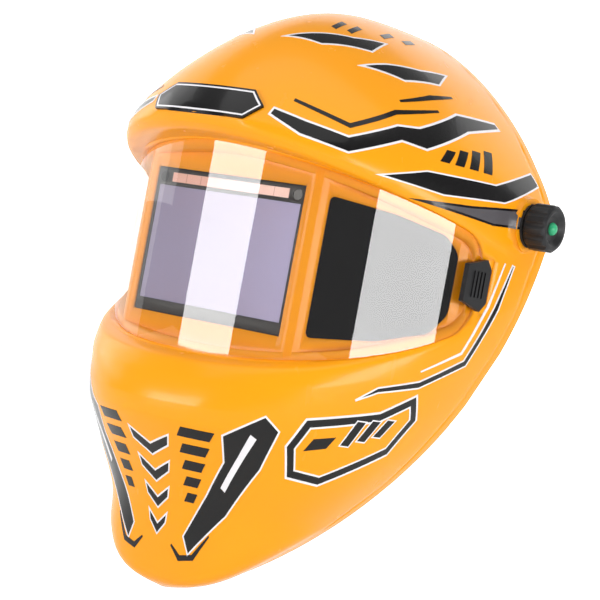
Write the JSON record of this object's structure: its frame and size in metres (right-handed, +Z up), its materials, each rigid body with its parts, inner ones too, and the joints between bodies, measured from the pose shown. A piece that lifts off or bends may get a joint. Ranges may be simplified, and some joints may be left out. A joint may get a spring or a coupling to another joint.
{
  "type": "welding helmet",
  "caption": "Flip-up welding helmet with a panoramic cover lens, auto-darkening filter, dark side windows and ratchet headgear.",
  "frame": {"origin": "centre of the headband ring, at the middle height of its side rails less the drop of the pivots", "axes": "the front faces -Y, +X is the wearer's left, +Z is up"},
  "size_m": [0.2664, 0.3139, 0.3298],
  "materials": {
    "shell_gloss": "glossy painted",
    "clear_lens": "clear polycarbonate",
    "black_plastic": "satin moulded",
    "dark_window": "dark shade window",
    "filter_case": "satin moulded",
    "filter_glass": "coated filter glass",
    "solar_cell": "solar cell",
    "sensor": "dark sensor window",
    "grey_plastic": "matte moulded",
    "cell_steel": "brushed",
    "dial_plastic": "satin moulded",
    "red_button": "semi gloss",
    "green_plastic": "semi gloss",
    "washer_rubber": "matte",
    "band_plastic": "satin moulded",
    "pad_fabric": "knitted",
    "rivet_metal": "brushed"
  },
  "bodies": {
    "headgear": {"front_band": "band_plastic", "sweatband": "pad_fabric", "crown_strap_left": "band_plastic", "crown_strap_right": "band_plastic", "strap_rivets": "rivet_metal", "band_tail_left": "band_plastic", "band_tail_right": "band_plastic"},
    "rear_band": {"ratchet_plate": "black_plastic", "ratchet_cover": "black_plastic", "nape_pad": "pad_fabric"},
    "ratchet_wheel": {"ratchet_knob": "black_plastic", "ratchet_pinion": "grey_plastic"},
    "slider_left": {"pivot_slider_left": "black_plastic", "pivot_bolt_left": "grey_plastic", "tilt_stop_left": "black_plastic"},
    "slider_right": {"pivot_slider_right": "black_plastic", "pivot_bolt_right": "grey_plastic", "tilt_stop_right": "black_plastic"},
    "shell": {"shell": "shell_gloss", "cover_lens": "clear_lens", "side_window_left": "dark_window", "side_window_right": "dark_window", "side_frame_left": "black_plastic", "side_frame_right": "black_plastic", "adf_housing": "filter_case", "adf_glass": "filter_glass", "solar_strip": "solar_cell", "arc_sensors": "sensor", "inner_cover": "clear_lens", "adf_holder": "black_plastic", "battery_trays": "grey_plastic", "battery_cells": "cell_steel", "friction_washer_left": "washer_rubber", "friction_washer_right": "washer_rubber"},
    "knob_left": {"tension_knob_left": "black_plastic", "knob_cap_left": "green_plastic"},
    "knob_right": {"tension_knob_right": "black_plastic", "knob_cap_right": "green_plastic"},
    "latch_left": {"lens_latch_left": "black_plastic"},
    "latch_right": {"lens_latch_right": "black_plastic"},
    "shade": {"shade_dial": "dial_plastic"},
    "sensitivity": {"sensitivity_dial": "dial_plastic"},
    "delay": {"delay_dial": "dial_plastic"},
    "test": {"test_button": "red_button"},
    "grind": {"grind_button": "red_button"}
  },
  "joints": [
    {"name": "slider_left_slide", "type": "slide", "parent": "headgear", "child": "slider_left", "axis": [0, 1, 0], "range_m": [-0.005, 0.005]},
    {"name": "slider_right_slide", "type": "slide", "parent": "headgear", "child": "slider_right", "axis": [0, 1, 0], "range_m": [-0.005, 0.005]},
    {"name": "shell_flip", "type": "hinge", "parent": "slider_left", "child": "shell", "pos_m": [0, -0.042, -0.004], "axis": [-1, 0, 0], "range_deg": [0, 55]},
    {"name": "knob_left_turn", "type": "hinge", "parent": "slider_left", "child": "knob_left", "pos_m": [0.125, -0.042, -0.004], "axis": [1, 0, 0], "range_deg": [-180, 180]},
    {"name": "knob_right_turn", "type": "hinge", "parent": "slider_right", "child": "knob_right", "pos_m": [-0.125, -0.042, -0.004], "axis": [-1, 0, 0], "range_deg": [-180, 180]},
    {"name": "latch_left_slide", "type": "slide", "parent": "shell", "child": "latch_left", "axis": [0.122, 0.9925, 0], "range_m": [0, 0.004], "stiffness_N_per_m": 800, "springref_m": -0.003},
    {"name": "latch_right_slide", "type": "slide", "parent": "shell", "child": "latch_right", "axis": [-0.122, 0.9925, 0], "range_m": [0, 0.004], "stiffness_N_per_m": 800, "springref_m": -0.003},
    {"name": "rear_band_slide", "type": "slide", "parent": "headgear", "child": "rear_band", "axis": [0, 0.9703, -0.2419], "range_m": [-0.008, 0.008], "deforming": ["band_tail_left", "band_tail_right"]},
    {"name": "ratchet_knob_turn", "type": "hinge", "parent": "rear_band", "child": "ratchet_wheel", "pos_m": [0, 0.09703, -0.02819], "axis": [0, 0.9703, -0.2419], "range_deg": [-80, 80]},
    {"name": "shade_turn", "type": "hinge", "parent": "shell", "child": "shade", "pos_m": [-0.034, -0.137, -0.0101], "axis": [0, 1, 0], "range_deg": [-135, 135]},
    {"name": "sensitivity_turn", "type": "hinge", "parent": "shell", "child": "sensitivity", "pos_m": [-0.004, -0.137, -0.0101], "axis": [0, 1, 0], "range_deg": [-135, 135]},
    {"name": "delay_turn", "type": "hinge", "parent": "shell", "child": "delay", "pos_m": [0.026, -0.137, -0.0101], "axis": [0, 1, 0], "range_deg": [-135, 135]},
    {"name": "test_press", "type": "slide", "parent": "shell", "child": "test", "axis": [0, -1, 0], "range_m": [0, 0.0015], "stiffness_N_per_m": 400, "springref_m": -0.001},
    {"name": "grind_press", "type": "slide", "parent": "shell", "child": "grind", "axis": [0, -1, 0], "range_m": [0, 0.0015], "stiffness_N_per_m": 400, "springref_m": -0.001}
  ],
  "couplings": [
    {"joint": "slider_right_slide", "follows": "slider_left_slide", "ratio": 1},
    {"joint": "ratchet_knob_turn", "follows": "rear_band_slide", "rad_per_m": 163.62}
  ]
}
